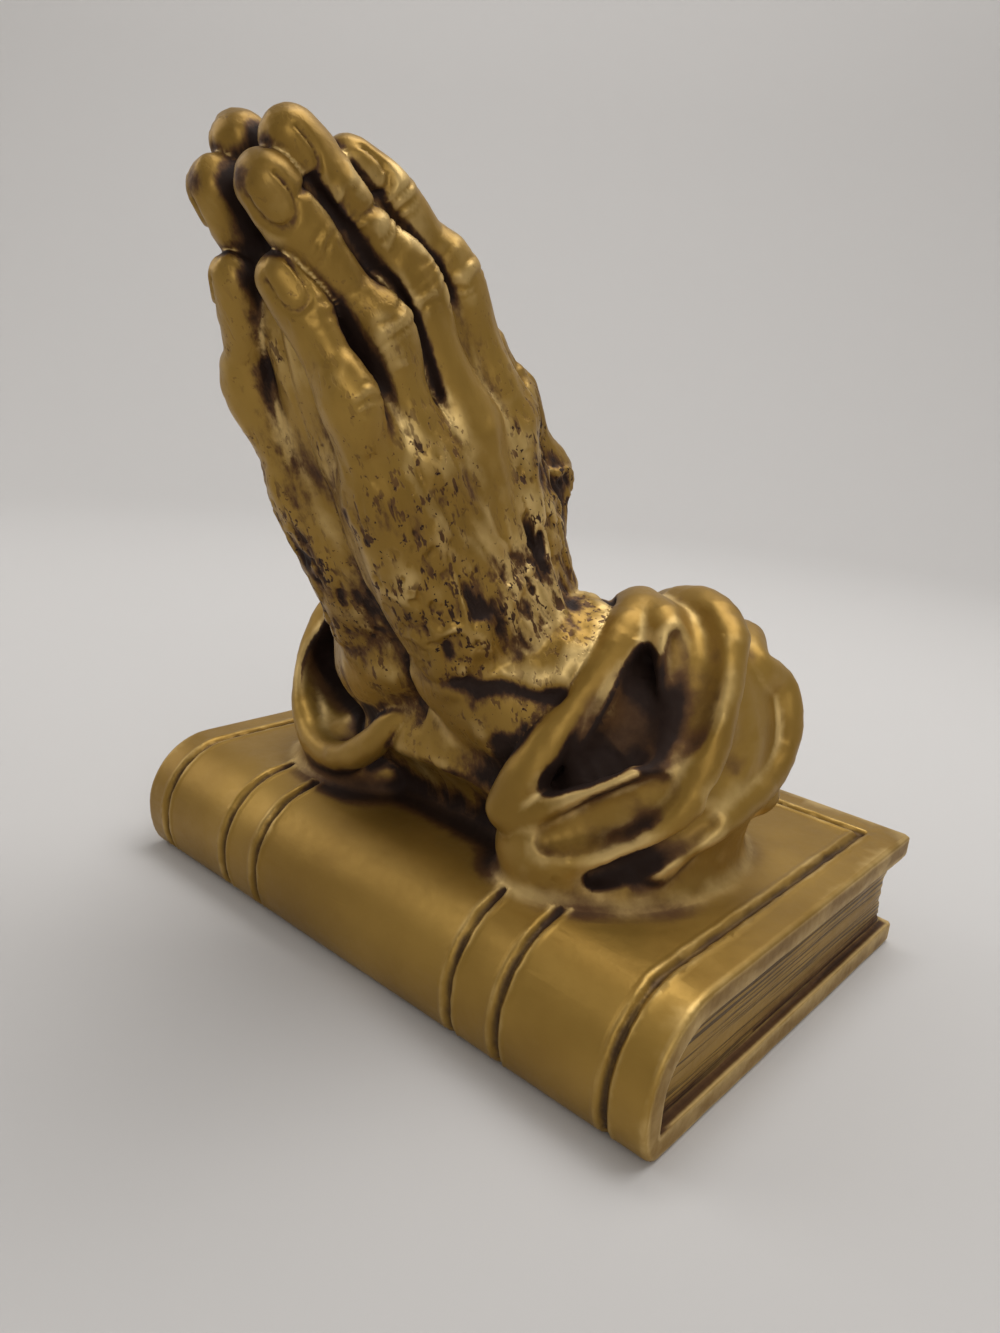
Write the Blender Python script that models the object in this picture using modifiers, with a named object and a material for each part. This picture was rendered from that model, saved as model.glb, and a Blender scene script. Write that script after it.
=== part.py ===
"""Praying hands statue: two hands pressed palm to palm, in turned-back sleeves, on a closed book.

The real statue is one painted plaster casting, so everything here ends as one solid.
The hands lean over the spine of the book. Each half is built on the left side, and the right
one is turned over across the plane X = 0: the hands are alike and the two sleeves fall differently.
"""

import math

import bmesh
import bpy
from mathutils import Matrix, Vector

MM = 0.001

# Book, lying flat with its spine along X at the front (-Y). Millimetres from here on.
BOOK_LENGTH = 215.0
BOOK_WIDTH = 155.0
BOOK_THICKNESS = 40.0
COVER_THICKNESS = 7.5
COVER_OVERHANG = 3.5
COVER_EDGE_RADIUS = 1.6
SPINE_DEPTH = 24.0
SPINE_FOOT = 8.0
SPINE_BELLY = 0.42
SPINE_STEPS = 14
BORDER_MARGIN = 12.5
GROOVE_RADIUS = 1.3
GROOVE_LIFT = 0.4
BAND_MIDDLE = 52.0
BAND_WIDTH = 17.0
BAND_REACH = 34.0
FORE_EDGE_HOLLOW = 3.0

# Hands. They meet on the plane X = 0, and the wrist is the origin of the hand's own frame.
WRIST_HEIGHT = 58.0
WRIST_SETBACK = 17.5
HAND_LEAN = 28.0
HAND_SCALE = 1.0

# Surface of the casting. Angles are in degrees.
VOXEL = 1.5
WELD = 0.01
BALL_SEGMENTS = 32
BALL_RINGS = 20
BEVEL_ABOVE = 50.0
SHARP_ABOVE = 40.0
SMOOTH_PASSES = 5
SCULPTURE_TRIANGLES = 9600

# Joints of each finger, from the root of its palm bone to its tip, as
# (across towards the thumb side, along towards the tips, out from the other palm, radius).
FINGERS = {
    "index": [
        (28, -4, 18, 9.0), (45, 50, 15.5, 9.6), (43, 89.5, 12, 7.9), (33.5, 110, 10, 6.6),
        (26.5, 120.6, 8.2, 6.0),
    ],
    "middle": [
        (20, -2, 19, 9.0), (28, 56, 18.5, 9.6), (27.5, 95, 13.5, 8.1),
        (18.5, 114.5, 10.8, 6.9), (13, 130.3, 8.6, 6.2),
    ],
    "ring": [
        (11, -2, 19, 9.0), (13, 54, 18.5, 9.3), (15, 88.5, 14.5, 7.8), (8, 110, 10.8, 6.7),
        (4, 124.6, 8.4, 6.0),
    ],
    "little": [
        (3, -2, 18, 9.0), (-0.5, 52, 15, 9.0), (-1.8, 80, 18, 7.5), (-0.5, 96.5, 12, 6.3),
        (-1.5, 106, 8.6, 5.5),
    ],
    "thumb": [(38, -4, 14, 11.0), (60, 24, 8.5, 10.5), (58, 50, 8, 8.2), (54, 66, 7, 6.6)],
}
# A bone is this much slimmer halfway between two knuckles.
WAIST = 0.88

# Fleshy masses of the hand, as a centre and three radii in the hand's frame.
PALM_MASSES = [
    ((22, 28, 13), (27, 44, 15.5)),
    ((2.5, 38, 14), (11, 34, 12)),
    ((10, 12, 18), (14, 22, 15)),
    ((42, 16, 12), (16, 28, 13)),
    ((27, 1, 17), (24, 21, 17)),
    ((8, 46, 2), (12, 54, 9)),
    ((7, 78, 4), (9, 32, 8)),
    ((36, 70, 12), (7, 20, 7)),
    ((5, 66, 13), (6, 14, 8)),
]

# Forearm, folds and cloth, as (out from X = 0, back from the wrist, up from the cover) with a radius,
# or as a centre and three radii. The cloth falls differently on the two sides.
FOREARM = [(15, 16, 56, 19.0), (26, 24, 47, 20.0), (40, 36, 42, 20.0), (56, 52, 38, 20.0)]
ARM_MASSES = [((0, 34, 8), (44, 27, 48)), ((34, 38, 56), (20, 26, 21)), ((0, 60, 4), (56, 36, 28))]
LEFT_SLEEVE = {
    "body": [((57, 56, 34), (28, 41, 43)), ((54, 52, 0), (30, 44, 24)), ((47, 21, 8), (20, 19, 18))],
    "mouth": [(8, 2, 48, 20.0), (26, 18, 48, 21.0), (38, 30, 46, 19.0)],
    "folds": [
        [
            (22, 56, 46, 6), (32, 55, 62, 7), (44, 50, 73, 7.5), (50, 36, 70, 6),
            (50, 26, 62, 5), (48, 19, 52, 5), (45, 13, 42, 6), (42, 9, 32, 6.5),
            (38, 7, 22, 6),
        ],
        [(46, 51, 73, 7), (58, 45, 74, 6.5), (67, 39, 68, 6), (70, 36, 61, 4)],
        [
            (28, 76, 50, 6), (40, 70, 68, 6.5), (54, 62, 75, 7), (64, 58, 75, 7),
            (72, 53, 71, 6.5), (76, 46, 64, 6), (79, 40, 55, 6), (80, 36, 45, 6),
            (80, 32, 35, 5.5), (77, 27, 27, 5), (70, 21, 19, 4.5), (62, 15, 14, 4.5),
            (50, 9, 12, 5),
        ],
        [(40, 8, 20, 5), (48, 10, 24, 4.5), (58, 13, 31, 4), (67, 18, 37, 3.6), (74, 26, 41, 3)],
        [
            (44, 92, 54, 6), (64, 78, 66, 6), (75, 66, 63, 5), (78, 76, 57, 5),
            (82, 78, 48, 5), (83, 77, 38, 5), (84, 68, 31, 5), (84, 55, 27, 5),
            (81, 42, 22, 5), (72, 30, 12, 6),
        ],
        [(26, 82, 24, 7), (44, 96, 36, 7), (62, 94, 34, 7), (76, 80, 20, 7)],
    ],
    "hollows": [
        [(62, 38, 66, 4), (66, 27, 60, 7), (68, 21, 51, 8), (67, 18, 43, 5)],
        [(66, 46, 78, 3), (73, 40, 70, 4), (76, 34, 61, 4), (77, 29, 52, 4)],
        [(50, 10, 33, 2.5), (58, 12, 38, 3.5), (64, 16, 42, 2.5)],
        [(62, 10, 20, 2.5), (70, 15, 27, 4), (76, 20, 35, 3.5)],
        [(86, 50, 56, 3.5), (89, 50, 48, 5), (88, 45, 40, 5), (86, 37, 34, 3.5)],
    ],
}
RIGHT_SLEEVE = {
    "body": [((54, 58, 32), (29, 40, 43)), ((52, 52, 0), (30, 42, 22)), ((42, 28, 6), (23, 19, 14))],
    "mouth": [(8, 2, 46, 20.0), (28, 16, 44, 23.0), (44, 28, 42, 21.0)],
    "folds": [
        [
            (26, 58, 46, 6), (36, 54, 62, 7), (48, 46, 67, 7), (60, 38, 61, 6),
            (69, 31, 50, 5.2), (71, 26, 37, 5), (68, 21, 24, 5), (60, 16, 14, 5),
            (47, 12, 10, 5), (32, 10, 13, 5), (20, 10, 22, 5), (12, 14, 33, 5),
        ],
        [
            (28, 76, 50, 6), (40, 70, 68, 6.5), (54, 62, 73, 7), (66, 56, 69, 6.5),
            (76, 50, 58, 6), (80, 44, 44, 6), (78, 38, 30, 6), (70, 32, 16, 7),
        ],
        [
            (44, 92, 54, 6), (64, 78, 64, 6), (76, 72, 57, 5.5), (81, 72, 44, 5.5),
            (82, 66, 31, 5.5), (78, 56, 20, 6),
        ],
        [(26, 82, 24, 7), (44, 96, 36, 7), (62, 94, 34, 7), (76, 80, 20, 7)],
    ],
    "hollows": [
        [(36, 4, 26, 8), (48, 12, 28, 12), (56, 24, 33, 13), (58, 34, 38, 10)],
        [(82, 60, 60, 3.5), (86, 58, 48, 5), (85, 52, 36, 4)],
    ],
}


def hand_point(across, along, out):
    """A point of the left hand's own frame, in the statue's frame."""
    lean = math.radians(HAND_LEAN)
    across, along, out = across * HAND_SCALE, along * HAND_SCALE, out * HAND_SCALE
    y = WRIST_SETBACK - BOOK_WIDTH / 2 + across * math.cos(lean) - along * math.sin(lean)
    z = BOOK_THICKNESS + WRIST_HEIGHT + across * math.sin(lean) + along * math.cos(lean)
    return Vector((out, y, z))


def cover_point(out, back, up):
    """A point measured from the middle of the statue, from the wrist and from the top cover."""
    return Vector((out, WRIST_SETBACK - BOOK_WIDTH / 2 + back, BOOK_THICKNESS + up))


def collection(name):
    made = bpy.data.collections.new(name)
    bpy.context.scene.collection.children.link(made)
    return made


def as_mesh(obj):
    """Replaces a curve, or a mesh with modifiers, by the plain mesh that it evaluates to."""
    bpy.context.view_layer.update()
    evaluated = obj.evaluated_get(bpy.context.evaluated_depsgraph_get())
    mesh = bpy.data.meshes.new_from_object(evaluated)
    mesh.transform(obj.matrix_world)
    name, home = obj.name, obj.users_collection[0]
    bpy.data.objects.remove(obj)
    bm = bmesh.new()
    bm.from_mesh(mesh)
    bmesh.ops.remove_doubles(bm, verts=bm.verts, dist=WELD * MM)
    bmesh.ops.recalc_face_normals(bm, faces=bm.faces)
    bm.to_mesh(mesh)
    bm.free()
    made = bpy.data.objects.new(name, mesh)
    home.objects.link(made)
    return made


def tube(name, points, home, sides=4, smooth=True):
    """A round limb or fold through points, each with its own radius."""
    curve = bpy.data.curves.new(name, "CURVE")
    curve.dimensions = "3D"
    curve.bevel_depth = 1.0
    curve.bevel_resolution = sides
    curve.resolution_u = 5
    curve.use_fill_caps = True
    spline = curve.splines.new("BEZIER" if smooth else "POLY")
    spots = spline.bezier_points if smooth else spline.points
    spots.add(len(points) - 1)
    for spot, (place, radius) in zip(spots, points):
        if smooth:
            spot.co = place * MM
            spot.handle_left_type = spot.handle_right_type = "AUTO"
        else:
            spot.co = (*(place * MM), 1.0)
        spot.radius = radius * MM
    obj = bpy.data.objects.new(name, curve)
    home.objects.link(obj)
    return as_mesh(obj)


def ellipsoid(name, centre, radii, home, turn=0.0):
    """A flesh or cloth mass. turn leans it about X, as the hand leans."""
    mesh = bpy.data.meshes.new(name)
    bm = bmesh.new()
    bmesh.ops.create_uvsphere(bm, u_segments=BALL_SEGMENTS, v_segments=BALL_RINGS, radius=1.0)
    bm.to_mesh(mesh)
    bm.free()
    place = Matrix.Translation(centre * MM) @ Matrix.Rotation(turn, 4, "X")
    mesh.transform(place @ Matrix.Diagonal((*(Vector(radii) * MM), 1.0)))
    obj = bpy.data.objects.new(name, mesh)
    home.objects.link(obj)
    return obj


def finger(name, joints, home):
    """One finger with its palm bone: a tube that narrows between knuckles, closed by a round tip."""
    points = []
    for (a, b) in zip(joints, joints[1:]):
        points.append((hand_point(*a[:3]), a[3] * HAND_SCALE))
        middle = [(p + q) / 2 for p, q in zip(a, b)]
        points.append((hand_point(*middle[:3]), middle[3] * WAIST * HAND_SCALE))
    tip = hand_point(*joints[-1][:3])
    radius = joints[-1][3] * HAND_SCALE
    points.append((tip, radius))
    return [tube(name, points, home), ellipsoid(name + "_tip", tip, (radius, radius, radius), home)]


def limb(name, stops, home):
    """A tube through (place, radius) stops, with a round end at both ends."""
    ends = [ellipsoid(name + "_end", place, (radius,) * 3, home) for place, radius in (stops[0], stops[-1])]
    return [tube(name, stops, home), *ends]


def cover_limb(name, path, home):
    return limb(name, [(cover_point(*stop[:3]), stop[3]) for stop in path], home)


def fused(name, forms, home, voxel):
    """One closed skin round overlapping forms."""
    bm = bmesh.new()
    for form in forms:
        bm.from_mesh(form.data)
    for form in forms:
        bpy.data.objects.remove(form)
    mesh = bpy.data.meshes.new(name)
    bm.to_mesh(mesh)
    bm.free()
    obj = bpy.data.objects.new(name, mesh)
    home.objects.link(obj)
    remesh = obj.modifiers.new("fuse", "REMESH")
    remesh.mode = "VOXEL"
    remesh.voxel_size = voxel * MM
    return as_mesh(obj)


def sleeve(shape, home, cutters):
    """A sleeve's body, open at its mouth, with rolled folds on it and hollows pressed between them."""
    body = [ellipsoid("sleeve_body", cover_point(*centre), radii, home) for centre, radii in shape["body"]]
    mouth = fused("mouth", cover_limb("mouth", shape["mouth"], cutters), cutters, VOXEL)
    forms = [boolean(fused("sleeve", body, home, VOXEL), mouth, "DIFFERENCE")]
    for path in shape["folds"]:
        forms += cover_limb("fold", path, home)
    pressed = []
    for path in shape["hollows"]:
        pressed += cover_limb("hollow", path, cutters)
    hollows = fused("hollows", pressed, cutters, VOXEL)
    return boolean(fused("sleeve", forms, home, VOXEL), hollows, "DIFFERENCE")


def one_half(shape, home, cutters):
    """Every form of one hand, forearm and sleeve, on the left side."""
    lean = math.radians(HAND_LEAN)
    forms = [sleeve(shape, home, cutters)]
    for name, joints in FINGERS.items():
        forms += finger(name, joints, home)
    for centre, (across, along, out) in PALM_MASSES:
        radii = [r * HAND_SCALE for r in (out, across, along)]
        forms.append(ellipsoid("palm", hand_point(*centre), radii, home, lean))
    forms += cover_limb("forearm", FOREARM, home)
    for centre, radii in ARM_MASSES:
        forms.append(ellipsoid("arm", cover_point(*centre), radii, home))
    return forms


def mirrored(forms):
    """The forms turned over to the other side of the plane X = 0."""
    for form in forms:
        form.data.transform(Matrix.Diagonal((-1, 1, 1, 1)))
        form.data.flip_normals()
    return forms


def sculpture(home, cutters):
    """Both halves fused, softened as a casting is, and thinned to few triangles."""
    forms = one_half(LEFT_SLEEVE, home, cutters) + mirrored(one_half(RIGHT_SLEEVE, home, cutters))
    obj = fused("sculpture", forms, home, VOXEL)
    soften = obj.modifiers.new("soften", "SMOOTH")
    soften.iterations = SMOOTH_PASSES
    obj = as_mesh(obj)
    thin = obj.modifiers.new("thin", "DECIMATE")
    obj.data.calc_loop_triangles()
    thin.ratio = SCULPTURE_TRIANGLES / len(obj.data.loop_triangles)
    return as_mesh(obj)


def case_outline(inset=0.0):
    """The book's section in Y and Z: flat boards joined by the round spine, inset all round the inside."""
    front = -BOOK_WIDTH / 2 + inset
    back = BOOK_WIDTH / 2
    low, high = inset, BOOK_THICKNESS - inset
    shoulder = -BOOK_WIDTH / 2 + SPINE_DEPTH
    foot = -BOOK_WIDTH / 2 + SPINE_FOOT
    belly = BOOK_THICKNESS * SPINE_BELLY
    points = [(back, high)]
    for i in range(SPINE_STEPS + 1):
        turn = i / SPINE_STEPS * math.pi / 2
        y, z = shoulder - (shoulder - front) * math.sin(turn), belly + (high - belly) * math.cos(turn)
        points.append((y, z))
    for i in range(1, SPINE_STEPS // 2 + 1):
        turn = i / (SPINE_STEPS // 2) * math.pi / 2
        reach = max(foot - front, 0.5)
        points.append((front + reach - reach * math.cos(turn), belly - (belly - low) * math.sin(turn)))
    points.append((back, low))
    return points


def extruded(name, outline, x_low, x_high, home):
    """The solid between two copies of a Y-Z outline."""
    mesh = bpy.data.meshes.new(name)
    bm = bmesh.new()
    ring = [bm.verts.new((x_low * MM, y * MM, z * MM)) for y, z in outline]
    face = bm.faces.new(ring)
    pushed = bmesh.ops.extrude_face_region(bm, geom=[face])["geom"]
    moved = [v for v in pushed if isinstance(v, bmesh.types.BMVert)]
    bmesh.ops.translate(bm, vec=((x_high - x_low) * MM, 0, 0), verts=moved)
    bmesh.ops.recalc_face_normals(bm, faces=bm.faces)
    bm.to_mesh(mesh)
    bm.free()
    obj = bpy.data.objects.new(name, mesh)
    home.objects.link(obj)
    return obj


def boolean(obj, cutter, operation):
    step = obj.modifiers.new(operation.lower(), "BOOLEAN")
    step.operation = operation
    step.object = cutter
    cutter.hide_render = True
    cutter.display_type = "WIRE"
    done = as_mesh(obj)
    bpy.data.objects.remove(cutter)
    return done


def wrap_groove(name, x, back_end, cutters):
    """A cutter that runs along the case's section at one X, from the foot of the spine over the top."""
    shoulder = -BOOK_WIDTH / 2 + SPINE_DEPTH
    path = [p for p in reversed(case_outline(-GROOVE_LIFT)) if p[0] < shoulder + WELD]
    path.append((back_end, BOOK_THICKNESS + GROOVE_LIFT))
    points = [(Vector((x, y, z)), GROOVE_RADIUS) for y, z in path]
    return tube(name, points, cutters, sides=1, smooth=False)


def book(home, cutters):
    """Covers and spine as one wrapped case, the page block set back at the ends and the fore edge."""
    half = BOOK_LENGTH / 2
    case = extruded("book", case_outline(), -half, half, home)
    soft = case.modifiers.new("worn_edges", "BEVEL")
    soft.width = COVER_EDGE_RADIUS * MM
    soft.segments = 2
    soft.limit_method = "ANGLE"
    soft.angle_limit = math.radians(BEVEL_ABOVE)
    case = as_mesh(case)
    for side in (-1, 1):
        inner, outer = side * (half - COVER_OVERHANG), side * (half + COVER_OVERHANG)
        low, high = min(inner, outer), max(inner, outer)
        recess = extruded("end_recess", case_outline(COVER_THICKNESS), low, high, cutters)
        for vert in recess.data.vertices:
            if vert.co.y > (BOOK_WIDTH / 2 - WELD) * MM:
                vert.co.y += COVER_OVERHANG * MM
        case = boolean(case, recess, "DIFFERENCE")
    low, high = COVER_THICKNESS, BOOK_THICKNESS - COVER_THICKNESS
    back = BOOK_WIDTH / 2
    hollow = [(back + COVER_OVERHANG, high), (back - COVER_OVERHANG, high)]
    for i in range(1, SPINE_STEPS // 2):
        share = i / (SPINE_STEPS // 2)
        dip = FORE_EDGE_HOLLOW * math.sin(share * math.pi)
        hollow.append((back - COVER_OVERHANG - dip, high + (low - high) * share))
    hollow += [(back - COVER_OVERHANG, low), (back + COVER_OVERHANG, low)]
    recess = extruded("fore_edge_recess", hollow, -half - COVER_OVERHANG, half + COVER_OVERHANG, cutters)
    case = boolean(case, recess, "DIFFERENCE")
    border = half - BORDER_MARGIN
    far = BOOK_WIDTH / 2 - BORDER_MARGIN
    for x in (-border, border):
        case = boolean(case, wrap_groove("border_groove", x, far, cutters), "DIFFERENCE")
    corners = (-border - GROOVE_RADIUS, border + GROOVE_RADIUS)
    ends = [(Vector((x, far, BOOK_THICKNESS + GROOVE_LIFT)), GROOVE_RADIUS) for x in corners]
    case = boolean(case, tube("fore_groove", ends, cutters, sides=1, smooth=False), "DIFFERENCE")
    for middle in (-BAND_MIDDLE, BAND_MIDDLE):
        for x in (middle - BAND_WIDTH / 2, middle + BAND_WIDTH / 2):
            reach = -BOOK_WIDTH / 2 + BAND_REACH
            case = boolean(case, wrap_groove("band_groove", x, reach, cutters), "DIFFERENCE")
    return case


def gold_paint():
    paint = bpy.data.materials.new("antique_gold_paint")
    paint.use_nodes = True
    shader = paint.node_tree.nodes["Principled BSDF"]
    shader.inputs["Base Color"].default_value = (0.38, 0.25, 0.07, 1.0)
    shader.inputs["Metallic"].default_value = 0.55
    shader.inputs["Roughness"].default_value = 0.42
    return paint


def main():
    for obj in list(bpy.data.objects):
        bpy.data.objects.remove(obj)
    home = collection("praying_hands_statue")
    cutters = collection("cutters")
    statue = book(home, cutters)
    figure = sculpture(home, cutters)
    statue = boolean(statue, figure, "UNION")
    statue.name = "praying_hands_statue"
    statue.data.materials.append(gold_paint())
    statue.data.shade_smooth()
    statue.data.set_sharp_from_angle(angle=math.radians(SHARP_ABOVE))


main()
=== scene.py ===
"""Looks of the praying hands statue: a gold-painted, brown-washed plaster casting on a closed book."""

import math

import bpy
import numpy as np
from mathutils import Matrix, Vector


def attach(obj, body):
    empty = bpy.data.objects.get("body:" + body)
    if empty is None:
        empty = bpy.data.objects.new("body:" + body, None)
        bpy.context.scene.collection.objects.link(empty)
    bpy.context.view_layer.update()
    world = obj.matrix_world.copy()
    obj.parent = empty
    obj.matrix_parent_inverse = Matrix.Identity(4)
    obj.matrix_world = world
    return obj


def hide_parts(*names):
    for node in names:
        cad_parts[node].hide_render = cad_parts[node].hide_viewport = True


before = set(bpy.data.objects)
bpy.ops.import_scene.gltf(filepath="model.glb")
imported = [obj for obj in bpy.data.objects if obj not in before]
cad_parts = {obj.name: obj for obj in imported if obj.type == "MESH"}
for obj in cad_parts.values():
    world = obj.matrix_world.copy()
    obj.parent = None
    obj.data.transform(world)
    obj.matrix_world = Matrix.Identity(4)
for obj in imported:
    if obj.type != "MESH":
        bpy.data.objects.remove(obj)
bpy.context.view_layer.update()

# The viewpoint: a hand-held camera close to the tail end of the spine, a little above the book.
# Its rows are the photograph's right, up and towards-the-eye directions.
eye = Vector((0.19543, -0.24933, 0.17609))
eye_rows = ((0.74608, 0.65987, 0.08912), (-0.25251, 0.15655, 0.95485), (0.61612, -0.73490, 0.28342))
camera_data = bpy.data.cameras.new("viewpoint")
camera_data.sensor_fit = "VERTICAL"
camera_data.sensor_height = 24
camera_data.lens = 17.90
camera_data.clip_start = 0.001
camera = bpy.data.objects.new("viewpoint", camera_data)
bpy.context.scene.collection.objects.link(camera)
camera.matrix_world = Matrix.Translation(eye) @ Matrix(eye_rows).transposed().to_4x4()
bpy.context.scene.camera = camera
bpy.context.scene.view_settings.view_transform = "Standard"

# The studio: a pale round sweep of card under and behind the statue, a large soft lamp overhead,
# a weaker one at each side and one on the wall behind, all at a plain level.
card = bpy.data.materials.new("studio_card")
card.use_nodes = True
card_shader = card.node_tree.nodes["Principled BSDF"]
card_shader.inputs["Base Color"].default_value = (0.56, 0.545, 0.53, 1)
card_shader.inputs["Roughness"].default_value = 0.9
flat_reach, bend_radius, wall_height, spokes = 0.9, 0.6, 3.0, 64
sweep_rings = [(0.0, 0.0), (flat_reach, 0.0)]
for turn in np.linspace(0.1, math.pi / 2, 16):
    away, up = flat_reach + bend_radius * math.sin(turn), bend_radius - bend_radius * math.cos(turn)
    sweep_rings.append((away, up))
sweep_rings.append((flat_reach + bend_radius, wall_height))
sweep_points, sweep_faces = [], []
for radius, height in sweep_rings:
    for i in range(spokes):
        turn = 2 * math.pi * i / spokes
        sweep_points.append((radius * math.cos(turn), radius * math.sin(turn), height))
for ring in range(len(sweep_rings) - 1):
    inner, outer = ring * spokes, (ring + 1) * spokes
    for i in range(spokes):
        j = (i + 1) % spokes
        sweep_faces.append((inner + i, inner + j, outer + j, outer + i))
sweep_mesh = bpy.data.meshes.new("studio_floor")
sweep_mesh.from_pydata(sweep_points, [], sweep_faces)
sweep_mesh.shade_smooth()
sweep_mesh.materials.append(card)
studio_floor = bpy.data.objects.new("studio_floor", sweep_mesh)
bpy.context.scene.collection.objects.link(studio_floor)

room = bpy.data.worlds.new("studio_room")
bpy.context.scene.world = room
room.use_nodes = True
room.node_tree.nodes["Background"].inputs["Color"].default_value = (0.86, 0.845, 0.83, 1)
room.node_tree.nodes["Background"].inputs["Strength"].default_value = 0.68
# Each lamp's place, the point that it faces, its side in metres and its power in watts.
lamps = {
    "key": ((0.15, 0.25, 0.95), (0, 0, 0.1), 0.7, 5.5),
    "left": ((-0.9, -0.5, 0.7), (0, 0, 0.1), 0.8, 3.0),
    "right": ((0.9, -0.6, 0.5), (0, 0, 0.1), 0.6, 2.5),
    "wall": ((-0.2, 0.25, 1.3), (-0.95, 1.15, 0.75), 0.6, 9.0),
}
for name, (place, aim, size, power) in lamps.items():
    lamp_data = bpy.data.lights.new("lamp_" + name, "AREA")
    lamp_data.size = size
    lamp_data.energy = power
    lamp = bpy.data.objects.new("lamp_" + name, lamp_data)
    bpy.context.scene.collection.objects.link(lamp)
    lamp.location = place
    lamp.rotation_euler = (Vector(aim) - Vector(place)).to_track_quat("-Z", "Y").to_euler()

# The book: a cast block in the shape of a thick closed book. Its case wraps round the spine, the
# page block is set back at the ends and the fore edge, and fine grooves mark the border and bands.
book_length, book_width, book_thickness = 215.0, 155.0, 40.0
cover_thickness, cover_overhang, cover_edge_radius = 7.5, 3.5, 1.6
spine_depth, spine_foot, belly_share = 24.0, 8.0, 0.42
border_margin, band_middle, band_width, band_reach = 12.5, 52.0, 17.0, 34.0
groove_radius, groove_lift, groove_fillet = 1.3, 0.4, 0.6
fore_edge_hollow, recess_fillet, past_fore_edge = 3.0, 0.8, 200
# The clay is a grid of distances to the surface, in millimetres, for the half with X above 0. Each
# form is worked out only where it is nearer than clay_reach.
clay_step = 0.8
clay_low = np.array((0.0, -124.0, -4.0))
clay_high = np.array((112.0, 82.0, 232.0))
clay_axes = [np.arange(low, high, clay_step, dtype=np.float32) for low, high in zip(clay_low, clay_high)]
clay_reach = 14.0


def bare_clay():
    return np.full([len(axis) for axis in clay_axes], clay_reach, np.float32)


def clay_round(low, high):
    """The part of the grid round a form, as slices and as points."""
    slices, sides = [], []
    for axis, a, b in zip(clay_axes, low, high):
        first, last = np.searchsorted(axis, (a - clay_reach, b + clay_reach))
        slices.append(slice(first, last))
        sides.append(axis[first:last])
    return tuple(slices), np.stack(np.meshgrid(*sides, indexing="ij"), -1)


def melt(a, b, blend):
    """The lesser of two distances, with a fillet about blend wide where they meet."""
    if blend <= 0:
        return np.minimum(a, b)
    share = np.clip(0.5 + 0.5 * (b - a) / blend, 0, 1)
    return b + (a - b) * share - blend * share * (1 - share)


def press(clay, where, distance, blend=0.0):
    clay[where] = melt(clay[where], distance, blend)


def scoop(clay, where, distance, blend=0.0):
    clay[where] = -melt(-clay[where], distance, blend)


def flowing(stops, spacing=3.0):
    """Stops of (x, y, z, radius) joined by a smooth curve, as closer stops."""
    stops = np.array(stops, float)
    padded = np.vstack((2 * stops[0] - stops[1], stops, 2 * stops[-1] - stops[-2]))
    out = []
    for a, b, c, d in zip(padded, padded[1:], padded[2:], padded[3:]):
        count = max(1, int(np.linalg.norm((c - b)[:3]) / spacing))
        t = (np.arange(count) / count)[:, None]
        out.append(0.5 * (2 * b + (c - a) * t + (2 * a - 5 * b + 4 * c - d) * t**2
                          + (3 * b - a - 3 * c + d) * t**3))
    return np.vstack(out + [stops[-1:]])


def roll(clay, stops, blend=0.0, smooth=True, tool=press):
    """A rounded limb or fold through stops of (x, y, z, radius)."""
    stops = flowing(stops) if smooth else np.array(stops, float)
    low = (stops[:, :3] - stops[:, 3:]).min(0)
    high = (stops[:, :3] + stops[:, 3:]).max(0)
    where, points = clay_round(low, high)
    if not points.size:
        return
    near = np.full(points.shape[:3], 1e6, np.float32)
    for a, b in zip(stops, stops[1:]):
        start, along = a[:3].astype(np.float32), (b - a)[:3].astype(np.float32)
        offset = points - start
        t = np.clip(offset @ along / max(float(along @ along), 1e-6), 0, 1)
        offset -= t[..., None] * along
        gap = np.sqrt(np.einsum("...i,...i", offset, offset)) - (a[3] + (b[3] - a[3]) * t)
        np.minimum(near, gap, out=near)
    tool(clay, where, near, blend)


def lump(clay, centre, radii, turn=None, blend=0.0, tool=press):
    """An egg-shaped mass. turn is a rotation matrix of its own axes."""
    radii = np.array(radii, np.float32)
    reach = max(radii)
    where, points = clay_round(np.array(centre) - reach, np.array(centre) + reach)
    if not points.size:
        return
    points = points - np.array(centre, np.float32)
    if turn is not None:
        points = points @ np.array(turn, np.float32)
    inner = np.linalg.norm(points / radii, axis=-1)
    outer = np.linalg.norm(points / radii**2, axis=-1)
    tool(clay, where, (inner * (inner - 1) / np.maximum(outer, 1e-6)).astype(np.float32), blend)


def case_outline(inset=0.0, steps=28):
    """The book's section in Y and Z, inset all round, from the top of the fore edge to its foot."""
    front, back = -book_width / 2 + inset, book_width / 2
    low, high = inset, book_thickness - inset
    shoulder, belly = -book_width / 2 + spine_depth, book_thickness * belly_share
    turns = np.linspace(0, math.pi / 2, steps)
    rise, run = np.sin(turns), np.cos(turns)
    upper = np.stack((shoulder - (shoulder - front) * rise, belly + (high - belly) * run), -1)
    foot = max(-book_width / 2 + spine_foot - front, 0.5)
    lower = np.stack((front + foot - foot * run, belly - (belly - low) * rise), -1)
    return np.vstack(((back, high), upper, lower[1:], (back, low)))


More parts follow.
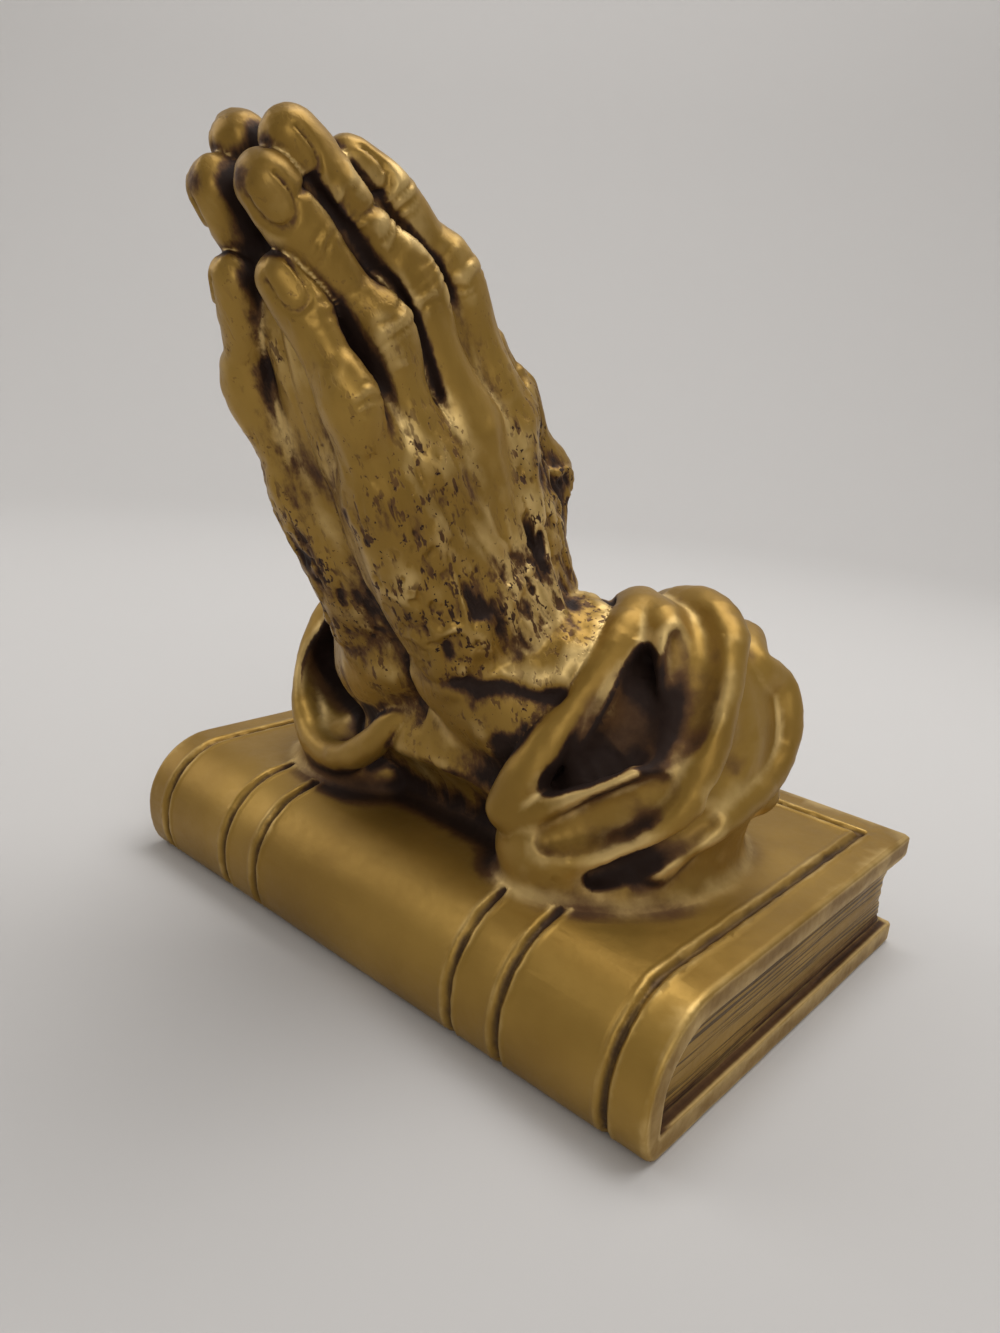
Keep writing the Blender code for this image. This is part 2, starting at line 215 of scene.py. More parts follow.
def outline_distance(outline, y, z):
    """Signed distance to a closed outline in Y and Z, on a grid of both."""
    points = np.stack(np.meshgrid(y, z, indexing="ij"), -1)
    near = np.full(points.shape[:2], 1e6)
    inside = np.zeros(points.shape[:2], bool)
    for a, b in zip(outline, np.roll(outline, -1, 0)):
        offset, along = points - a, b - a
        t = np.clip(offset @ along / max(along @ along, 1e-9), 0, 1)
        near = np.minimum(near, np.linalg.norm(offset - t[..., None] * along, axis=-1))
        crosses = (a[1] > points[..., 1]) != (b[1] > points[..., 1])
        rise = b[1] - a[1] if b[1] != a[1] else 1e-9
        inside ^= crosses & (points[..., 0] < a[0] + along[0] * (points[..., 1] - a[1]) / rise)
    return np.where(inside, -near, near).astype(np.float32)


def slab(section, length, radius):
    """A section run along X on both sides of the middle, its edges rounded by radius."""
    past_end = (clay_axes[0] - (length / 2 - radius))[:, None, None]
    section = (section + radius)[None]
    outside = np.hypot(np.maximum(section, 0), np.maximum(past_end, 0))
    return (np.minimum(np.maximum(section, past_end), 0) + outside - radius).astype(np.float32)


everywhere = (slice(None),) * 3
half_length = book_length / 2
case_section = outline_distance(case_outline(), *clay_axes[1:])
book_clay = slab(case_section, book_length, cover_edge_radius)
open_ends = [(past_fore_edge, cover_thickness), (past_fore_edge, book_thickness - cover_thickness)]
open_section = outline_distance(np.vstack((case_outline(cover_thickness)[1:-1], open_ends)), *clay_axes[1:])
end_recess = np.maximum(open_section[None], (half_length - cover_overhang - clay_axes[0])[:, None, None])
scoop(book_clay, everywhere, end_recess, recess_fillet)
leaf_share = (clay_axes[2] - cover_thickness) / (book_thickness - 2 * cover_thickness)
hollow = fore_edge_hollow * np.sin(np.clip(leaf_share, 0, 1) * math.pi)
fore_plane = book_width / 2 - cover_overhang - hollow
cover_gap = np.abs(clay_axes[2] - book_thickness / 2) - (book_thickness / 2 - cover_thickness)
fore_recess = np.maximum(cover_gap[None, :], fore_plane[None, :] - clay_axes[1][:, None])
fore_recess = np.broadcast_to(fore_recess[None].astype(np.float32), book_clay.shape)
scoop(book_clay, everywhere, fore_recess, recess_fillet)


def wrap_path(x, back_end):
    """A groove's run along the case at one X, from the foot of the spine up over the cover."""
    shoulder = -book_width / 2 + spine_depth
    path = [(x, y, z, groove_radius) for y, z in case_outline(-groove_lift)[::-1] if y < shoulder + 0.01]
    return path + [(x, back_end, book_thickness + groove_lift, groove_radius)]


border_x = half_length - border_margin
fore_line = book_width / 2 - border_margin
band_edges = (band_middle - band_width / 2, band_middle + band_width / 2)
grooves = [wrap_path(border_x, fore_line)]
grooves += [[(x, fore_line, book_thickness + groove_lift, groove_radius) for x in (-5, border_x)]]
grooves += [wrap_path(band_edge, -book_width / 2 + band_reach) for band_edge in band_edges]
for groove in grooves:
    roll(book_clay, groove, groove_fillet, smooth=False, tool=scoop)

# The hands: two hands pressed palm to palm, leaning over the spine. Each finger is built on its
# joints, as (across to the thumb side, along to the tips, out from the other palm, radius).
wrist_height, wrist_setback, hand_lean = 58.0, 17.5, math.radians(28)
hand_axes = np.array(((0, math.cos(hand_lean), math.sin(hand_lean)),
                      (0, -math.sin(hand_lean), math.cos(hand_lean)), (1, 0, 0)))
wrist_place = np.array((0, wrist_setback - book_width / 2, book_thickness + wrist_height))
fingers = {
    "index": [(28, -4, 18, 9.0), (45, 50, 15.5, 9.6), (43, 89.5, 12, 7.9), (33.5, 110, 10, 6.6),
              (26.5, 120.6, 8.2, 6.0)],
    "middle": [(20, -2, 19, 9.0), (28, 56, 18.5, 9.6), (27.5, 95, 13.5, 8.1), (18.5, 114.5, 10.8, 7.0),
               (12.6, 130.0, 8.6, 6.5)],
    "ring": [(11, -2, 19, 9.0), (13, 54, 18.5, 9.3), (15, 88.5, 14.7, 8.3), (8, 109, 10.8, 7.1),
             (3.2, 123.6, 8.6, 6.7)],
    "little": [(3, -2, 18, 9.0), (-0.5, 52, 15, 9.0), (-1.8, 80, 18, 7.5), (-0.5, 96.5, 12, 6.3),
               (-1.5, 106, 8.6, 5.5)],
    "thumb": [(38, -4, 14, 11.0), (60, 24, 8.5, 10.5), (58, 50, 8, 8.2), (54, 66, 7, 6.6)],
}
# How thick each bone is halfway, as a share of what its joints give there.
bone_waists = (0.88, 0.83, 0.83, 1.03)
# The flesh of the palm, its heel and the thumb's root, as centres and half sizes.
palm_masses = [
    ((22, 28, 13), (27, 44, 15.5)), ((2.5, 38, 14), (11, 34, 12)), ((10, 12, 18), (14, 22, 15)),
    ((42, 16, 12), (16, 28, 13)), ((27, 1, 17), (24, 21, 17)), ((8, 46, 2), (12, 54, 9)),
    ((7, 78, 4), (9, 32, 8)), ((36, 70, 12), (7, 20, 7)), ((5, 66, 13), (6, 14, 8)),
    ((39, 24, 20), (12, 24, 8)),
]


def hand_stop(across, along, out, radius):
    return (*(wrist_place + np.array((across, along, out)) @ hand_axes), radius)


def finger_stops(joints):
    """The joints, with a slimmer stop halfway along each bone."""
    stops = []
    for a, b, waist in zip(joints, joints[1:], bone_waists):
        middle = [(p + q) / 2 for p, q in zip(a, b)]
        stops += [hand_stop(*a), hand_stop(*middle[:3], middle[3] * waist)]
    return stops + [hand_stop(*joints[-1])]


hand_clay = bare_clay()
for centre, radii in palm_masses:
    lump(hand_clay, hand_stop(*centre, 0)[:3], radii, hand_axes.T, blend=6.0)
for joints in fingers.values():
    roll(hand_clay, finger_stops(joints)[:3], blend=5.0)
# Tendons run from the knuckles to the wrist. At a knuckle they stand a little proud of the bone.
wrist_across, knuckle_across = 22, 18
for name, joints in fingers.items():
    if name != "thumb":
        across, along, out, radius = joints[1]
        tendon = [(across, along, out + radius - 1.5, 2.0),
                  (wrist_across + 0.5 * (across - knuckle_across), 26, 29, 1.8),
                  (wrist_across + 0.3 * (across - knuckle_across), 2, 35, 2.2)]
        roll(hand_clay, [hand_stop(*stop) for stop in tendon], blend=3.0)
finger_clay = bare_clay()
for joints in fingers.values():
    roll(finger_clay, finger_stops(joints)[2:], blend=0.8)
# Furrows part neighbouring fingers, as far as they lie side by side: each stop is a bone and a share of it.
furrow_stops = ((1, 0.4), (2, 0.0), (2, 0.5), (3, 0.0), (3, 0.6))
furrow_lift, furrow_radius = (0, 0, 4.3), 1.6
for one, other, count in (("index", "middle", 5), ("middle", "ring", 5), ("ring", "little", 3)):
    furrow = []
    for bone, share in furrow_stops[:count]:
        a, b, c, d = (np.array(fingers[name][bone + end][:3]) for name in (one, other) for end in (0, 1))
        furrow.append(hand_stop(*((a + c) * (1 - share) + (b + d) * share) / 2 + furrow_lift, furrow_radius))
    roll(finger_clay, furrow, blend=1.4, tool=scoop)
press(hand_clay, everywhere, finger_clay, 2.5)

# The forearms and sleeves: wide cuffs turned back in rolls of cloth round each forearm, which come
# down on the cover behind the hands. Stops are (out, back from the wrist, up from the cover, radius).
def cover_stop(out, back, up, radius=0.0):
    return (out, wrist_place[1] + back, book_thickness + up, radius)


# The cloth and the arms are cast in one with the book, and end inside it at this height.
cloth_floor = 20
forearm = [(15, 16, 56, 19.0), (26, 24, 47, 20.0), (40, 36, 42, 20.0), (56, 52, 38, 20.0)]
arm_masses = [((0, 34, 8), (44, 27, 48)), ((34, 38, 56), (20, 26, 21)), ((0, 60, 4), (56, 36, 28))]
near_sleeve = {
    "body": [((57, 56, 34), (28, 41, 43)), ((54, 52, 0), (28, 42, 22)), ((47, 21, 10), (18, 18, 19))],
    "folds": [
        [(22, 56, 46, 6), (32, 55, 62, 7), (44, 50, 73, 7.5), (50, 36, 70, 6), (50, 26, 62, 5),
         (48, 19, 52, 5), (45, 13, 42, 6), (42, 9, 32, 6.5), (38, 7, 22, 6)],
        [(46, 51, 73, 7), (57, 44, 73, 6.5), (65, 38, 67, 5.5), (68, 34, 60, 4)],
        [(28, 76, 50, 6), (40, 70, 68, 6.5), (54, 62, 75, 7), (64, 58, 75, 7), (72, 53, 71, 6.5),
         (76, 46, 64, 6), (79, 40, 55, 6), (80, 36, 45, 6), (80, 32, 35, 5.5), (77, 27, 27, 5),
         (70, 21, 19, 4.5), (62, 15, 14, 4.5), (50, 9, 12, 5)],
        [(40, 8, 20, 5), (48, 9, 24, 4.2), (58, 12, 31, 3.4), (67, 17, 37, 3), (73, 24, 41, 2.6)],
        [(44, 92, 54, 6), (64, 78, 66, 6), (75, 66, 63, 5), (78, 76, 57, 5), (82, 78, 48, 5),
         (83, 77, 38, 5), (84, 68, 31, 5), (84, 55, 27, 5), (81, 42, 22, 5), (72, 30, 12, 6)],
        [(26, 82, 24, 7), (44, 96, 36, 7), (62, 94, 34, 7), (76, 80, 20, 7)],
    ],
    "hollows": [
        [(66, 46, 79, 3.5), (73, 39, 71, 5), (76, 33, 61, 6), (76, 28, 51, 5.5), (73, 22, 44, 3.5)],
        [(66, 38, 72, 2.5), (71, 32, 65, 5), (71, 26, 57, 6), (70, 22, 48, 5)],
        [(50, 10, 33, 2.5), (58, 12, 38, 3.5), (64, 16, 42, 2.5)],
        [(54, 6, 18, 3.5), (62, 10, 23, 6.5), (70, 15, 29, 7), (76, 20, 35, 5.5)],
        [(64, 15, 9, 2.5), (72, 20, 13, 4), (79, 27, 18, 4.5), (84, 36, 25, 4)],
        [(85, 50, 56, 4.5), (88, 50, 48, 6.5), (87, 45, 40, 6.5), (85, 37, 34, 4.5)],
    ],
    "mouth": [(8, 2, 48, 20.0), (26, 18, 48, 21.0), (38, 30, 46, 19.0)],
    "deep": [[(60, 36, 66, 5), (66, 26, 60, 8.5), (67, 20, 50, 10), (62, 15, 41, 8), (56, 12, 36, 5)]],
}
far_sleeve = {
    "body": [((54, 58, 32), (29, 40, 43)), ((52, 52, 0), (28, 40, 20)), ((42, 28, 6), (22, 18, 13))],
    "folds": [
        [(26, 58, 46, 6), (36, 54, 62, 7), (48, 46, 67, 7), (60, 38, 61, 6), (69, 31, 50, 5.2),
         (71, 26, 37, 5), (68, 21, 24, 5), (60, 16, 14, 5), (47, 12, 10, 5), (32, 10, 13, 5),
         (20, 10, 22, 5), (12, 14, 33, 5)],
        [(28, 76, 50, 6), (40, 70, 68, 6.5), (54, 62, 73, 7), (66, 56, 69, 6.5), (76, 50, 58, 6),
         (80, 44, 44, 6), (78, 38, 30, 6), (70, 32, 16, 7)],
        [(44, 92, 54, 6), (64, 78, 64, 6), (76, 72, 57, 5.5), (81, 72, 44, 5.5), (82, 66, 31, 5.5),
         (78, 56, 20, 6)],
        [(26, 82, 24, 7), (44, 96, 36, 7), (62, 94, 34, 7), (76, 80, 20, 7)],
    ],
    "hollows": [
        [(36, 4, 26, 8), (48, 12, 28, 12), (56, 24, 33, 13), (58, 34, 38, 10)],
        [(82, 60, 60, 3.5), (86, 58, 48, 5), (85, 52, 36, 4)],
    ],
    "mouth": [(8, 2, 46, 20.0), (28, 16, 44, 23.0), (44, 28, 42, 21.0)],
    "deep": [],
}


def sleeve_clay(sleeve):
    """A sleeve's body, open at its mouth, with folds laid on it and hollows pressed between them."""
    clay = bare_clay()
    for centre, radii in sleeve["body"]:
        lump(clay, cover_stop(*centre)[:3], radii, blend=6.0)
    for path in sleeve["mouth"], *sleeve["deep"]:
        roll(clay, [cover_stop(*stop) for stop in path], blend=2.5, tool=scoop)
    for path in sleeve["folds"]:
        roll(clay, [cover_stop(*stop) for stop in path], blend=3.5)
    for path in sleeve["hollows"]:
        roll(clay, [cover_stop(*stop) for stop in path], blend=3.0, tool=scoop)
    return np.maximum(clay, cloth_floor - clay_axes[2])


arm_clay = bare_clay()
roll(arm_clay, [cover_stop(*stop) for stop in forearm])
for centre, radii in arm_masses:
    lump(arm_clay, cover_stop(*centre)[:3], radii, blend=7.0)
# The undercut below the wrists, over the cover.
undercut = [(-10, -58, 40, 23.0), (14, -56, 40, 22.0), (30, -58, 40, 19.0), (46, -64, 40, 15.0)]
roll(arm_clay, undercut, blend=4.0, tool=scoop)
arm_clay = np.maximum(arm_clay, cloth_floor - clay_axes[2])

# The casting: the clay of all the forms run together, skinned, and carved with the creases and
# pits that the mould gave it. One piece, so that paint and wash run over it as over the real one.
cover_fillet, wrist_fillet = 7.0, 3.0
cloth_clay, halves = [], []
for sleeve in (near_sleeve, far_sleeve):
    cloth = sleeve_clay(sleeve)
    half = np.minimum(melt(book_clay, cloth, cover_fillet), melt(book_clay, arm_clay, cover_fillet))
    press(half, everywhere, hand_clay, wrist_fillet)
    cloth_clay.append(cloth)
    halves.append(half)
halves[1][0] = halves[0][0] = (halves[0][0] + halves[1][0]) / 2
whole_clay = np.concatenate((halves[1][:0:-1], halves[0]))
whole_low = np.array((-clay_axes[0][-1], clay_low[1], clay_low[2]))


def skin(clay):
    """Wraps the surface of the clay in quads, one corner in each cell that it passes through."""
    inside = clay < 0
    corners = [(i, j, k) for i in (0, 1) for j in (0, 1) for k in (0, 1)]
    count = np.zeros([side - 1 for side in clay.shape], np.int8)
    for c in corners:
        count += inside[tuple(slice(o, s - 1 + o) for o, s in zip(c, clay.shape))]
    cells = np.argwhere((count > 0) & (count < 8))
    number = np.full(count.shape, -1, np.int32)
    number[tuple(cells.T)] = np.arange(len(cells))
    total, hits = np.zeros((len(cells), 3)), np.zeros(len(cells))
    for c in corners:
        for axis in range(3):
            if c[axis]:
                continue
            end = np.array(c)
            end[axis] = 1
            a, b = clay[tuple((cells + c).T)], clay[tuple((cells + end).T)]
            crossed = (a < 0) != (b < 0)
            place = np.tile(np.array(c, float), (len(cells), 1))
            place[:, axis] = np.where(crossed, a / np.where(crossed, a - b, 1), 0)
            total += place * crossed[:, None]
            hits += crossed
    points = (cells + total / hits[:, None]) * clay_step + whole_low
    quads = []
    for axis in range(3):
        u, v = (axis + 1) % 3, (axis + 2) % 3
        near = inside[tuple(slice(0, -1) if i == axis else slice(1, -1) for i in range(3))]
        far = inside[tuple(slice(1, None) if i == axis else slice(1, -1) for i in range(3))]
        edges = np.argwhere(near != far)
        outward = near[tuple(edges.T)]
        edges[:, u] += 1
        edges[:, v] += 1
        ring = []
        for du, dv in ((1, 1), (0, 1), (0, 0), (1, 0)):
            cell = edges.copy()
            cell[:, u] -= du
            cell[:, v] -= dv
            ring.append(number[tuple(cell.T)])
        ring = np.stack(ring, -1)
        quads.append(np.where(outward[:, None], ring, ring[:, ::-1]))
    return points, np.vstack(quads)


def feel(clay, points, low):
    """The clay's distances at points, read between its grid's corners."""
    place = (points - low) / clay_step
    place = np.clip(place, 0, np.array(clay.shape) - 1.001)
    base = place.astype(np.int32)
    part = place - base
    total = np.zeros(len(points))
    for i in (0, 1):
        for j in (0, 1):
            for k in (0, 1):
                weight = np.prod(np.where((i, j, k), part, 1 - part), axis=-1)
                total += weight * clay[base[:, 0] + i, base[:, 1] + j, base[:, 2] + k]
    return total


def outward_normals(points, quads):
    a, b, c, d = (points[quads[:, i]] for i in range(4))
    across = np.cross(c - a, d - b)
    total = np.zeros_like(points)
    for i in range(4):
        np.add.at(total, quads[:, i], across)
    return total / np.maximum(np.linalg.norm(total, axis=1, keepdims=True), 1e-9)


points, quads = skin(whole_clay)
normals = outward_normals(points, quads)
folded = np.abs(points * (1, 0, 0)) + points * (0, 1, 1)
# Which form each point lies on, fading out over share_fade. folded is its place on the near half.
share_fade = 2.0
hand_share = np.clip(1 - feel(hand_clay, folded, clay_low) / share_fade, 0, 1)
arm_share = np.clip(1 - feel(arm_clay, folded, clay_low) / share_fade, 0, 1)
near_depth, far_depth = (feel(clay, folded, clay_low) for clay in cloth_clay)
cloth_depth = np.where(points[:, 0] > 0, near_depth, far_depth)
sleeve_share = np.clip(1 - cloth_depth / share_fade, 0, 1) * (1 - hand_share) * (1 - arm_share)
skin_share = np.maximum(hand_share, arm_share * (points[:, 2] > book_thickness + 2))

grain_side = 64
grain_table = np.random.default_rng(7).random((grain_side,) * 3).astype(np.float32) * 2 - 1


def grain(points, size, shift=0.0):
    """Soft random relief between -1 and 1, with lumps about size wide."""
    place = points / size + shift
    base = np.floor(place).astype(np.int64)
    part = place - base
    part = part * part * (3 - 2 * part)
    total = np.zeros(len(points))
    for i in (0, 1):
        for j in (0, 1):
            for k in (0, 1):
                weight = np.prod(np.where((i, j, k), part, 1 - part), axis=-1)
                corner = (base + (i, j, k)) % grain_side
                total += weight * grain_table[tuple(corner.T)]
    return total


# Points as (across, along, out) of the hand. In chased, relief on the skin is drawn out along the
# hand, and the shift by side makes the two hands differ.
hand_place = (folded - wrist_place) @ hand_axes.T
side = np.sign(points[:, 0])
chased = hand_place * (1.0, 0.45, 1.0) + side[:, None] * 50
relief = (0.22 * grain(chased, 2.4) + 0.7 * grain(chased, 6.0, 9)) * skin_share
relief += (0.35 * grain(points, 6.0, 3) + 0.12 * grain(points, 2.2, 4)) * sleeve_share
relief += 0.08 * grain(points, 9.0, 5)


def bell(value, width):
    return np.exp(-(value / width) ** 2)


# The mould left the backs of the hands a net of thin ridges with hollows and pits between them.
back_of_hand = bell(hand_place[:, 1] - 26, 32) * np.clip(hand_place[:, 2] / 12 - 0.6, 0, 1) * hand_share
drift = np.clip(grain(chased, 13.0, 21) * 1.3 + 0.35 + 0.8 * back_of_hand, 0, 1)
chewed_edge = np.clip(1.4 - np.abs(hand_place[:, 0] - 2) / 9, 0, 1) * bell(hand_place[:, 1] - 45, 52)
chewed_edge = chewed_edge * (side < 0) * hand_share * np.clip(grain(chased, 8.0, 23) * 1.5 + 0.7, 0, 1)
rough_skin = np.clip(bell(hand_place[:, 1] - 26, 36) * hand_share + 0.5 * arm_share, 0, 1)
drift = np.maximum(drift * (0.12 * skin_share + 0.88 * rough_skin), chewed_edge)
net = np.clip((np.abs(grain(chased, 5.5, 57)) - 0.06) / 0.3, 0, 1)
net *= np.clip(grain(chased, 9.0, 61) * 2 + 0.6, 0, 1)
gouges = 0.8 * np.clip((grain(chased, 2.9, 31) - 0.3) / 0.3, 0, 1)
gouges += 0.7 * np.clip((grain(chased, 1.6, 33) - 0.3) / 0.2, 0, 1)
pits = np.clip(gouges, 0, 1) * drift
relief += back_of_hand * drift * (0.6 - 1.5 * net) - (0.95 - 0.4 * arm_share) * pits

# The crease where each heel of the hand meets its forearm, as stops of (across, along).
heel_across, heel_along = (-4, 7, 16, 26, 38, 48), (-1, -7, -10, -8, -9, -5)
under_heel = hand_place[:, 1] - np.interp(hand_place[:, 0], heel_across, heel_along)
under_heel += 1.6 * grain(points, 6.0, 91)
heel_line = np.clip((hand_place[:, 2] - 8) / 6, 0, 1) * np.clip((hand_place[:, 0] + 8) / 6, 0, 1)
heel_line = heel_line * skin_share * np.clip((52 - hand_place[:, 0]) / 6, 0, 1)
heel_groove = 1.5 * bell(under_heel, 2.0) * (0.7 + 0.5 * grain(points, 9.0, 93))
relief += heel_line * (0.7 * bell(under_heel - 4.5, 2.5) - heel_groove)

# Creases over the two knuckles of each finger, as places along it and depths, and the nail that is
# set into its tip. nail_turns are degrees round from the back of the hand.
knuckle_creases = ((-3.4, 0.5), (-1.0, 0.9), (2.2, 0.7))
nail_turns = {"index": 20, "middle": 48, "ring": 43, "little": 27}
nail_half_width, nail_half_length, nail_setback, nail_squareness = 0.58, 5.6, 0.9, 2.3
for name, nail_turn in nail_turns.items():
    joints = fingers[name]
    ends = np.array([hand_stop(*joint)[:3] for joint in joints])
    for knuckle in (2, 3):
        bone = ends[knuckle + 1] - ends[knuckle - 1]
        bone /= np.linalg.norm(bone)
        offset = folded - ends[knuckle]
        along = offset @ bone
        near = np.where(np.linalg.norm(offset, axis=1) < 16)[0]
        size = joints[knuckle][3]
        outer = offset[near] @ hand_axes[2]
        window = np.clip(outer / size * 1.6 - 0.6, 0, 1) * bell(along[near], 6.0)
        window *= np.clip(0.7 + grain(points[near], 4.0, 43), 0.1, 1.2)
        bend = 2.0 * grain(points[near], 5.0, 41)
        for crease, depth in knuckle_creases:
            relief[near] -= depth * bell(along[near] - crease * size / 7.5 - bend, 0.65) * window
        relief[near] += 0.5 * window
    tip, radius = ends[-1], joints[-1][3]
    bone = (ends[-1] - ends[-2]) / np.linalg.norm(ends[-1] - ends[-2])
    turn = math.radians(nail_turn)
    face = hand_axes[2] * math.cos(turn) - hand_axes[0] * math.sin(turn)
    face -= bone * (face @ bone)
    face /= np.linalg.norm(face)
    side_way = np.cross(bone, face)
    near = np.where(np.linalg.norm(folded - tip, axis=1) < 18)[0]
    offset = folded[near] - tip
    height, width = offset @ face, offset @ side_way
    round_way = np.arctan2(width, np.maximum(height, 0.01)) * radius
    along = offset @ bone + nail_setback
    rim = np.abs(round_way / (nail_half_width * radius)) ** nail_squareness
    rim = (rim + np.abs(along / nail_half_length) ** nail_squareness) ** (1 / nail_squareness)
    seen = (height > 0) * 1.0
    relief[near] *= 1 - seen * np.clip((1.5 - rim) * 4, 0, 1)
    rim_groove = 0.85 * bell((rim - 1.12) * 4.0, 0.62) * np.clip(3.5 - along, 0, 1)
    relief[near] += seen * (0.2 * (rim < 1) - rim_groove)

# How far each place on the book's case is from the nearest of its scored lines, which have raised
# lips, and where the page block shows, with a fine step in it at each gathering of leaves.
from_line = np.where(points[:, 1] < fore_line + 1, np.abs(np.abs(points[:, 0]) - border_x), 99)
across_fore = (np.abs(points[:, 0]) < border_x + 1) & (points[:, 2] > book_thickness / 2)
from_line = np.minimum(from_line, np.where(across_fore, np.abs(points[:, 1] - fore_line), 99))
for band_edge in band_edges:
    on_band = points[:, 1] < band_reach - book_width / 2 + 1
    from_line = np.minimum(from_line, np.where(on_band, np.abs(np.abs(points[:, 0]) - band_edge), 99))
from_line += 0.35 * grain(points, 3.0, 71)
inside_ends = np.abs(points[:, 0]) < half_length - 2
on_case = (points[:, 2] < book_thickness + 1) & (points[:, 2] > 3) & inside_ends
on_case = on_case * (1 - sleeve_share) * (1 - skin_share)
scored = bell(from_line, 1.25) * on_case
leaves = np.abs(points[:, 2] - book_thickness / 2) < book_thickness / 2 - cover_thickness + 0.5
leaves &= inside_ends & ((points[:, 1] > 0) | (np.abs(normals[:, 0]) > 0.6))
leaves = (leaves & (points[:, 1] > spine_depth - book_width / 2 - 12)) * 1.0
leaf_steps = grain(points * (0.04, 0.04, 1), 1.5, 81)
relief -= leaves * 0.45 * np.clip(leaf_steps + 0.1, 0, 1)
relief += on_case * (0.45 * bell(from_line - 2.3, 0.8) - 0.5 * bell(from_line, 1.0))
points = points + normals * relief[:, None]

# How sunk each place is, from how much of the casting stands over it at four distances. The paint darkens
# with it, as the brown wash pooled in the recesses and as painted shade in the broad hollows.
recess_wash_shade = np.zeros(len(points))
for reach, weight in ((2.0, 0.3), (5.0, 0.35), (10.0, 0.3), (13.0, 0.25)):
    recess_wash_shade += weight * np.clip(1 - feel(whole_clay, points + normals * reach, whole_low) / reach, 0, 1)

# Where the paint is darkest: thick wash, and painted shade in the sleeve hollows, inside the far cuff, under
# the heels and on the cover in the shadow of the arms.
# Each is a place on the statue with a reach, a strength, and the least share of it that stays where the
# surface isn't sunk.
wash_and_shade_spots = np.zeros(len(points))
for place, reach, strength, least in (
        (hand_stop(8, -8, 26, 0), 9, 0.5, 0.25), (hand_stop(34, -6, 34, 0), 9, 0.4, 0.25),
        (cover_stop(66, 28, 60), 10, 0.6, 0.25), (cover_stop(63, 23, 50), 11, 0.9, 0.7),
        (cover_stop(69, 28, 50), 9, 0.7, 0.5), (cover_stop(57, 14, 39), 9, 0.8, 0.25),
        (cover_stop(86, 46, 46), 11, 0.9, 0.4), (cover_stop(70, 17, 27), 8, 0.8, 0.4),
        (cover_stop(75, 22, 14), 9, 0.9, 0.5), (cover_stop(38, 8, 40), 9, 0.35, 0.25),
        (cover_stop(28, 6, 50), 9, 0.35, 0.25), (cover_stop(30, 6, 44), 9, 0.35, 0.25),
        (cover_stop(10, 2, 34), 10, 0.3, 0.25), (cover_stop(14, 24, 2), 15, 0.4, 0.25),
        (cover_stop(-10, 28, 2), 17, 0.4, 0.25), (cover_stop(-34, 30, 1), 15, 0.4, 0.25),
        (cover_stop(34, 14, 2), 10, 0.35, 0.25), (cover_stop(66, 12, 0), 11, 0.3, 0.25),
        (cover_stop(86, 28, 0), 11, 0.3, 0.25), (cover_stop(-58, 36, 36), 17, 0.8, 0.5),
        (cover_stop(-46, 24, 34), 14, 0.6, 0.4), (cover_stop(-26, 12, 34), 12, 0.4, 0.25),
        (hand_stop(-3, 62, -10, 0), 13, 0.5, 0.7), (hand_stop(-8, 18, -9, 0), 12, 0.4, 0.4),
        (hand_stop(-2, 20, -4, 0), 12, 0.5, 0.25), (cover_stop(76, 33, 61), 6, 0.5, 0.25),
        (cover_stop(74, 40, 70), 5, 0.4, 0.25)):
    near = bell(np.linalg.norm(points - np.array(place[:3]), axis=1), reach)
    wash_and_shade_spots += strength * near * np.clip(recess_wash_shade * 2.2, least, 1)
# The heel crease gets the wash and painted shade too.
wash_and_shade_spots += 0.45 * heel_line * bell(under_heel + 0.5, 3.5)
# How far each place stands out, from how little of the casting is behind it. The paint is lighter there, as
# gold rubbed bare and as a painted highlight on the ridges and edges.
worn_and_highlit = np.clip(1 + feel(whole_clay, points - normals * 2.5, whole_low) / 2.5, 0, 1)

casting_mesh = bpy.data.meshes.new("painted_casting")
casting_mesh.from_pydata(points * 0.001, [], quads.tolist())
for name, values in (("recess_wash_shade", recess_wash_shade), ("worn_and_highlit", worn_and_highlit), ("relief", relief), ("flesh", skin_share),
                     ("wash_and_shade_spots", wash_and_shade_spots), ("scored", scored), ("leaves", leaves),
                     ("drift", drift * skin_share)):
    attribute = casting_mesh.attributes.new(name, "FLOAT", "POINT")
    attribute.data.foreach_set("value", values.astype(np.float32))
casting = bpy.data.objects.new("painted_casting", casting_mesh)
bpy.context.scene.collection.objects.link(casting)
casting_mesh.calc_loop_triangles()
most_triangles = 190000
thinning = casting.modifiers.new("thinning", "DECIMATE")
thinning.ratio = min(1.0, most_triangles / len(casting_mesh.loop_triangles))
bpy.context.view_layer.update()
thinned = bpy.data.meshes.new_from_object(casting.evaluated_get(bpy.context.evaluated_depsgraph_get()))
casting.modifiers.clear()
casting.data = thinned
thinned.shade_smooth()

# The paint: antique gold, rubbed over a brown-purple wash that stays in every recess and line, with painted
# shade darkening the hollows and the cover under the arms.
# It is brushed over the whole casting, and rubbed back to brighter gold on what stands out, which also
# paints highlights on the ridges and edges.
paint = bpy.data.materials.new("antique_gold_paint")
paint.use_nodes = True


